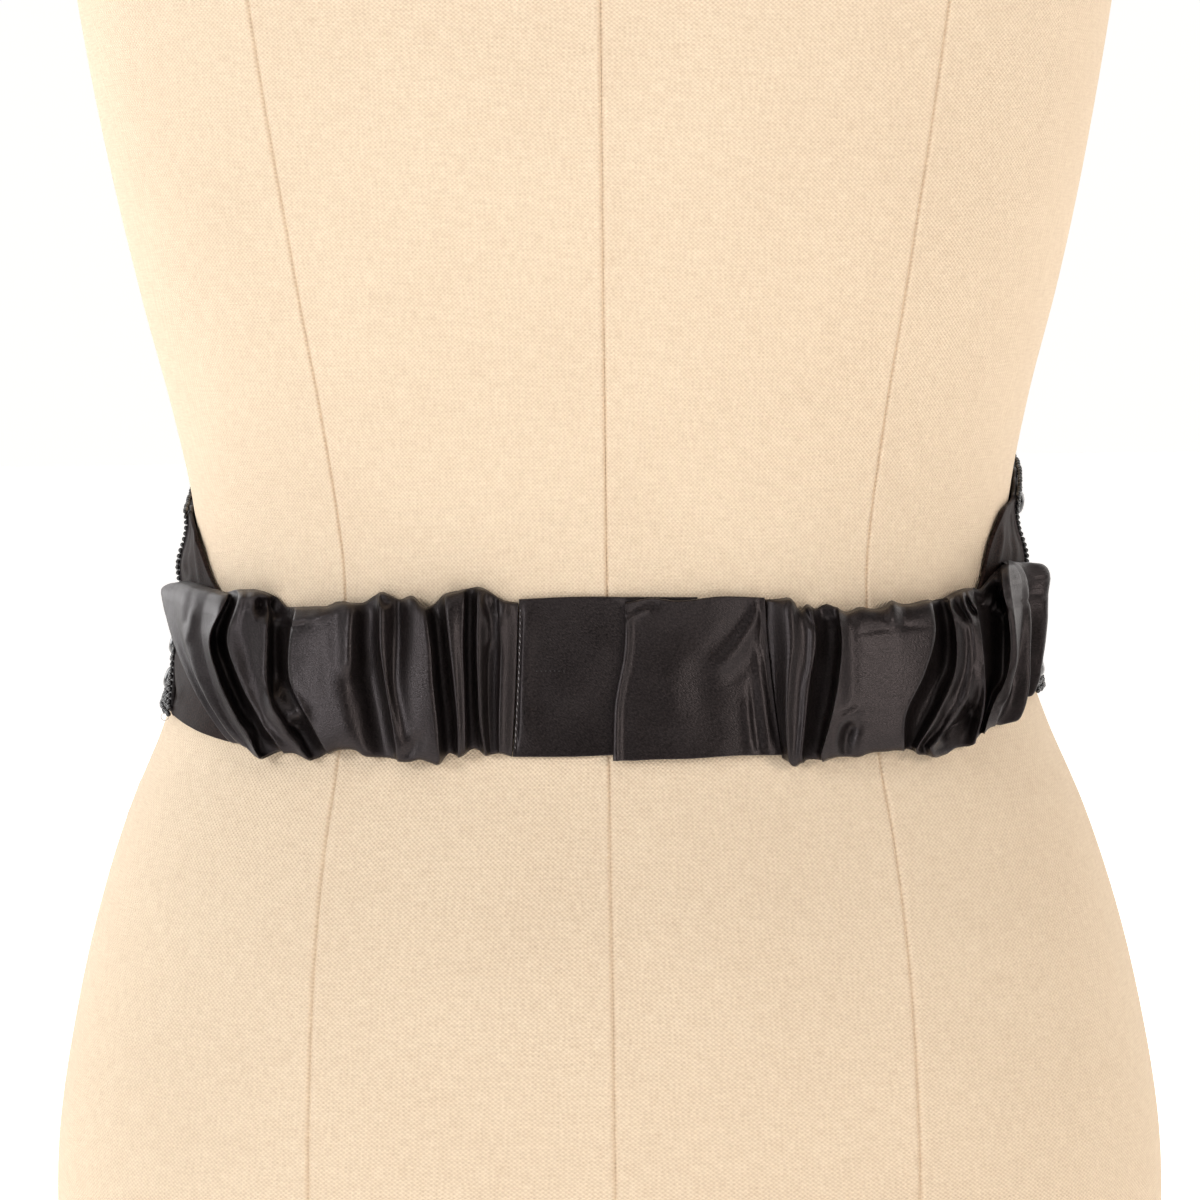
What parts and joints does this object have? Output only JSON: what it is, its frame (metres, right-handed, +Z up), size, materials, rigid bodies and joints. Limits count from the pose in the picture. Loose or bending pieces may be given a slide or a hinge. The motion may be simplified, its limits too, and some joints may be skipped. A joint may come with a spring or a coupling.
{
  "type": "beaded cummerbund on dress form",
  "caption": "Black satin cummerbund closed at the back, with gathered elastic casings, a flat overlapping closure and a beaded front, worn on a limbless linen dress form.",
  "frame": {"origin": "centre of the form's flat underside, which is the bottom centre of the whole part's box", "axes": "+Z up along the form, +Y towards the beaded front, -Y towards the closure at the centre back, +X to the right as the back is seen"},
  "size_m": [0.3528, 0.2493, 0.735],
  "materials": {
    "linen": "unbleached plain-weave linen stretched over the form, with fine sewn seams",
    "satin": "black satin with a soft purple-grey sheen and a fine diagonal grain",
    "beading": "black cloth covered with small black beads and set with large oval stones",
    "stones": "opaque black glass, polished",
    "thread": "fine polyester sewing thread"
  },
  "bodies": {
    "root": {"dress_form": "linen", "closure_underlap": "satin", "closure_overlap": "satin", "casing_left": "satin", "casing_right": "satin", "side_tab_left": "satin", "side_tab_right": "satin", "beaded_front": "beading"}
  },
  "joints": []
}
